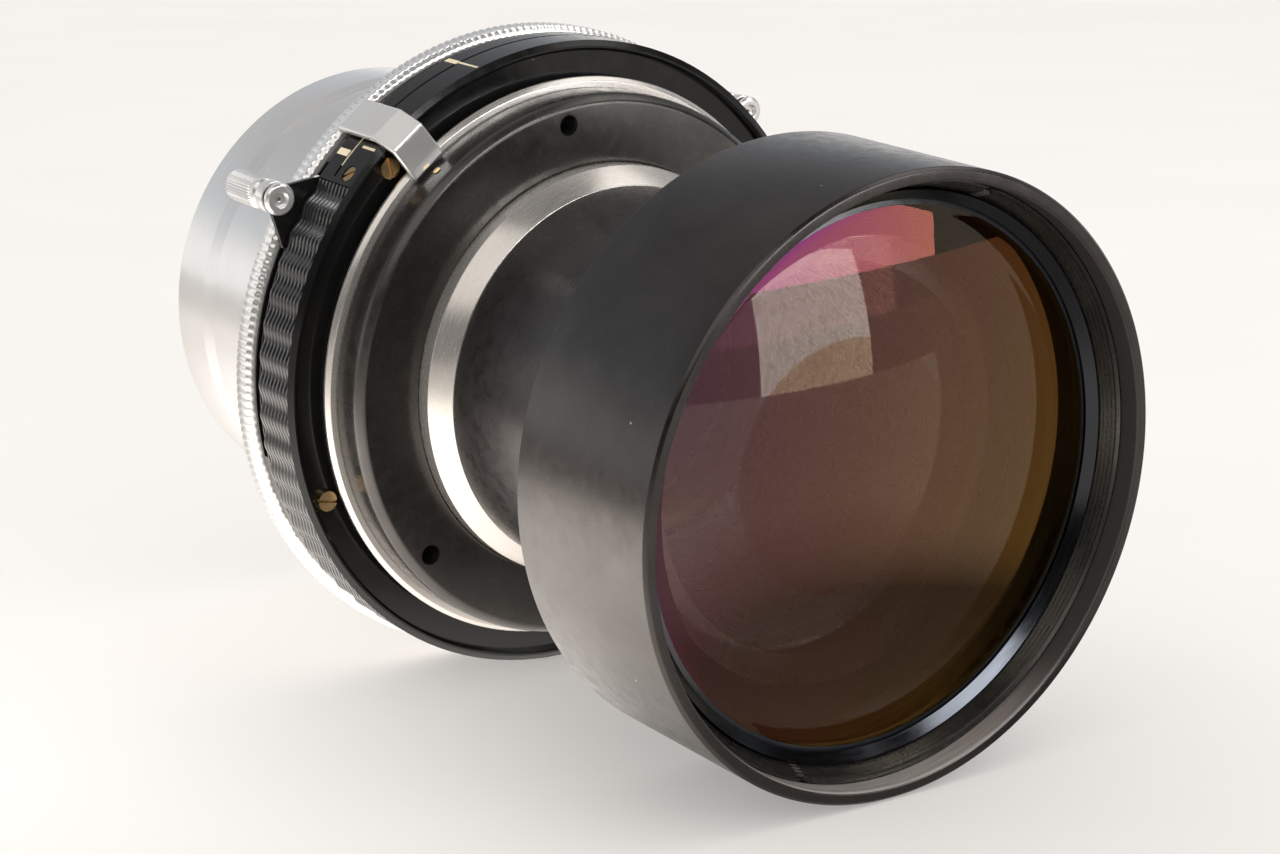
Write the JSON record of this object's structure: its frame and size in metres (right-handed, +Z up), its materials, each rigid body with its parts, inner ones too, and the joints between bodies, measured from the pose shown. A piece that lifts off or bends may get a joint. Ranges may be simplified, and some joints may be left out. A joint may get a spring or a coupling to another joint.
{
  "type": "large format lens in leaf shutter",
  "caption": "Long large-format lens in a leaf shutter: wide black rear barrel on a slim neck, flanged round shutter with aperture, cocking and release levers, bright front barrel.",
  "frame": {"origin": "on the optical axis, in the plane of the mounting flange's rear face, where a lens board sits", "axes": "+Y along the optical axis towards the front of the lens, +Z up as the lens lies in the picture, +X to the right seen from the rear"},
  "size_m": [0.097, 0.1372, 0.097],
  "materials": {
    "satin_black": "satin, fine grained",
    "matte_black": "matte",
    "black_metal": "satin",
    "coated_glass": "polished, coated",
    "bright_aluminium": "satin turned",
    "satin_chrome": "satin",
    "brass": "turned",
    "steel": "brushed",
    "blued_steel": "blued",
    "black_enamel": "gloss"
  },
  "bodies": {
    "lens": {"rear_barrel": "satin_black", "rear_retaining_ring": "matte_black", "rear_cell": "matte_black", "rear_element": "coated_glass", "rear_spacer": "matte_black", "rear_inner_element": "coated_glass", "neck_tube": "black_metal", "neck_element": "coated_glass", "neck_ring": "matte_black", "thread_tube": "bright_aluminium", "mounting_flange": "black_metal", "index_dot": "brass", "iris_pivots": "steel", "middle_plate": "steel", "shutter_pivots": "steel", "works_plate": "brass", "housing": "black_enamel", "grip_band": "black_enamel", "scale_band": "black_enamel", "scale_screw": "brass", "back_screws": "brass", "lever_springs": "steel", "front_hub": "steel", "front_plate": "satin_chrome", "front_barrel": "bright_aluminium", "front_element": "coated_glass", "front_retaining_ring": "matte_black", "front_inner_cell": "matte_black", "front_inner_element": "coated_glass"},
    "aperture": {"aperture_ring": "satin_chrome", "aperture_lever": "satin_chrome", "aperture_link": "steel", "iris_drive_ring": "steel"},
    "speed_dial": {"speed_ring": "satin_chrome", "speed_cam": "brass"},
    "cocking": {"cocking_lever": "black_enamel", "cocking_knob": "satin_chrome"},
    "release": {"release_lever": "black_enamel", "release_knob": "satin_chrome"},
    "blade_ring": {"shutter_ring": "brass"},
    "iris_1": {"iris_blade_1": "blued_steel"},
    "iris_2": {"iris_blade_2": "blued_steel"},
    "iris_3": {"iris_blade_3": "blued_steel"},
    "iris_4": {"iris_blade_4": "blued_steel"},
    "iris_5": {"iris_blade_5": "blued_steel"},
    "iris_6": {"iris_blade_6": "blued_steel"},
    "iris_7": {"iris_blade_7": "blued_steel"},
    "shutter_1": {"shutter_blade_1": "blued_steel"},
    "shutter_2": {"shutter_blade_2": "blued_steel"},
    "shutter_3": {"shutter_blade_3": "blued_steel"},
    "shutter_4": {"shutter_blade_4": "blued_steel"},
    "shutter_5": {"shutter_blade_5": "blued_steel"}
  },
  "joints": [
    {"name": "aperture_turn", "type": "hinge", "parent": "lens", "child": "aperture", "pos_m": [0, 0, 0], "axis": [0, 1, 0], "range_deg": [0, 60]},
    {"name": "speed_turn", "type": "hinge", "parent": "lens", "child": "speed_dial", "pos_m": [0, 0, 0], "axis": [0, 1, 0], "range_deg": [0, 200]},
    {"name": "cocking_swing", "type": "hinge", "parent": "lens", "child": "cocking", "pos_m": [0, 0, 0], "axis": [0, 1, 0], "range_deg": [-35, 0], "stiffness_Nm_per_rad": 0.1},
    {"name": "release_press", "type": "hinge", "parent": "lens", "child": "release", "pos_m": [0, 0, 0], "axis": [0, 1, 0], "range_deg": [0, 12], "stiffness_Nm_per_rad": 0.1},
    {"name": "blade_ring_turn", "type": "hinge", "parent": "lens", "child": "blade_ring", "pos_m": [0, 0, 0], "axis": [0, 1, 0], "range_deg": [-18, 0]},
    {"name": "iris_1_turn", "type": "hinge", "parent": "lens", "child": "iris_1", "pos_m": [0.01247, 0.01128, 0.03906], "axis": [0, 1, 0], "range_deg": [0, 28]},
    {"name": "iris_2_turn", "type": "hinge", "parent": "lens", "child": "iris_2", "pos_m": [0.03831, 0.01158, 0.01461], "axis": [0, 1, 0], "range_deg": [0, 28]},
    {"name": "iris_3_turn", "type": "hinge", "parent": "lens", "child": "iris_3", "pos_m": [0.03531, 0.01188, -0.02084], "axis": [0, 1, 0], "range_deg": [0, 28]},
    {"name": "iris_4_turn", "type": "hinge", "parent": "lens", "child": "iris_4", "pos_m": [0.00572, 0.01218, -0.0406], "axis": [0, 1, 0], "range_deg": [0, 28]},
    {"name": "iris_5_turn", "type": "hinge", "parent": "lens", "child": "iris_5", "pos_m": [-0.02818, 0.01248, -0.02978], "axis": [0, 1, 0], "range_deg": [0, 28]},
    {"name": "iris_6_turn", "type": "hinge", "parent": "lens", "child": "iris_6", "pos_m": [-0.04085, 0.01278, 0.00346], "axis": [0, 1, 0], "range_deg": [0, 28]},
    {"name": "iris_7_turn", "type": "hinge", "parent": "lens", "child": "iris_7", "pos_m": [-0.02277, 0.01308, 0.0341], "axis": [0, 1, 0], "range_deg": [0, 28]},
    {"name": "shutter_1_turn", "type": "hinge", "parent": "lens", "child": "shutter_1", "pos_m": [0.02507, 0.01443, 0.03244], "axis": [0, 1, 0], "range_deg": [-35, 0]},
    {"name": "shutter_2_turn", "type": "hinge", "parent": "lens", "child": "shutter_2", "pos_m": [0.0386, 0.01471, -0.01382], "axis": [0, 1, 0], "range_deg": [-35, 0]},
    {"name": "shutter_3_turn", "type": "hinge", "parent": "lens", "child": "shutter_3", "pos_m": [-0.00122, 0.01499, -0.04098], "axis": [0, 1, 0], "range_deg": [-35, 0]},
    {"name": "shutter_4_turn", "type": "hinge", "parent": "lens", "child": "shutter_4", "pos_m": [-0.03935, 0.01527, -0.01151], "axis": [0, 1, 0], "range_deg": [-35, 0]},
    {"name": "shutter_5_turn", "type": "hinge", "parent": "lens", "child": "shutter_5", "pos_m": [-0.02311, 0.01555, 0.03387], "axis": [0, 1, 0], "range_deg": [-35, 0]}
  ],
  "couplings": [
    {"joint": "blade_ring_turn", "follows": "release_press", "ratio": -1.5},
    {"joint": "iris_1_turn", "follows": "aperture_turn", "ratio": 0.46667},
    {"joint": "iris_2_turn", "follows": "aperture_turn", "ratio": 0.46667},
    {"joint": "iris_3_turn", "follows": "aperture_turn", "ratio": 0.46667},
    {"joint": "iris_4_turn", "follows": "aperture_turn", "ratio": 0.46667},
    {"joint": "iris_5_turn", "follows": "aperture_turn", "ratio": 0.46667},
    {"joint": "iris_6_turn", "follows": "aperture_turn", "ratio": 0.46667},
    {"joint": "iris_7_turn", "follows": "aperture_turn", "ratio": 0.46667},
    {"joint": "shutter_1_turn", "follows": "release_press", "ratio": -2.916},
    {"joint": "shutter_2_turn", "follows": "release_press", "ratio": -2.916},
    {"joint": "shutter_3_turn", "follows": "release_press", "ratio": -2.916},
    {"joint": "shutter_4_turn", "follows": "release_press", "ratio": -2.916},
    {"joint": "shutter_5_turn", "follows": "release_press", "ratio": -2.916}
  ]
}
